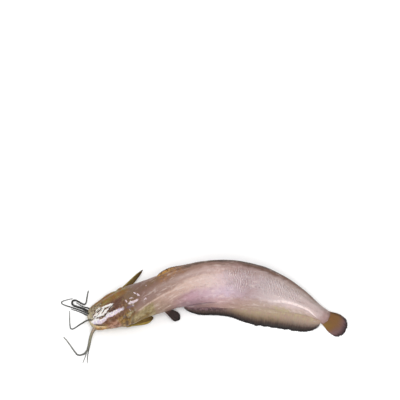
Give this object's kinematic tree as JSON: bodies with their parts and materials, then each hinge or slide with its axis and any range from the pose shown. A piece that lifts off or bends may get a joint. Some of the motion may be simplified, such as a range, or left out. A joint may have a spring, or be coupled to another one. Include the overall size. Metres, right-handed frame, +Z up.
{
  "type": "whole raw fish",
  "caption": "Whole raw catfish lying limp: broad flat head with long barbels, thick curved trunk, long low fins along back and belly, rounded tail fin.",
  "frame": {"origin": "on the surface it lies on, under the middle of the laid fish's bounding box", "axes": "+X from head to tail, +Y towards the side its back faces, +Z up from the surface; the left side faces -Y and up"},
  "size_m": [0.421, 0.1556, 0.0527],
  "materials": {
    "skin": "gloss",
    "eye": "gloss",
    "long_fin": "satin",
    "tail_fin": "satin",
    "pectoral_fin": "satin",
    "pelvic_fin": "satin",
    "barbel": "satin"
  },
  "bodies": {
    "root": {"body": "skin", "left_eye": "eye", "right_eye": "eye", "dorsal_fin": "long_fin", "anal_fin": "long_fin", "caudal_fin": "tail_fin", "left_pectoral_fin": "pectoral_fin", "right_pectoral_fin": "pectoral_fin", "left_pelvic_fin": "pelvic_fin", "right_pelvic_fin": "pelvic_fin", "left_nasal_barbel": "barbel", "right_nasal_barbel": "barbel", "left_maxillary_barbel": "barbel", "right_maxillary_barbel": "barbel", "left_outer_mandibular_barbel": "barbel", "left_inner_mandibular_barbel": "barbel", "right_inner_mandibular_barbel": "barbel", "right_outer_mandibular_barbel": "barbel"}
  },
  "joints": []
}
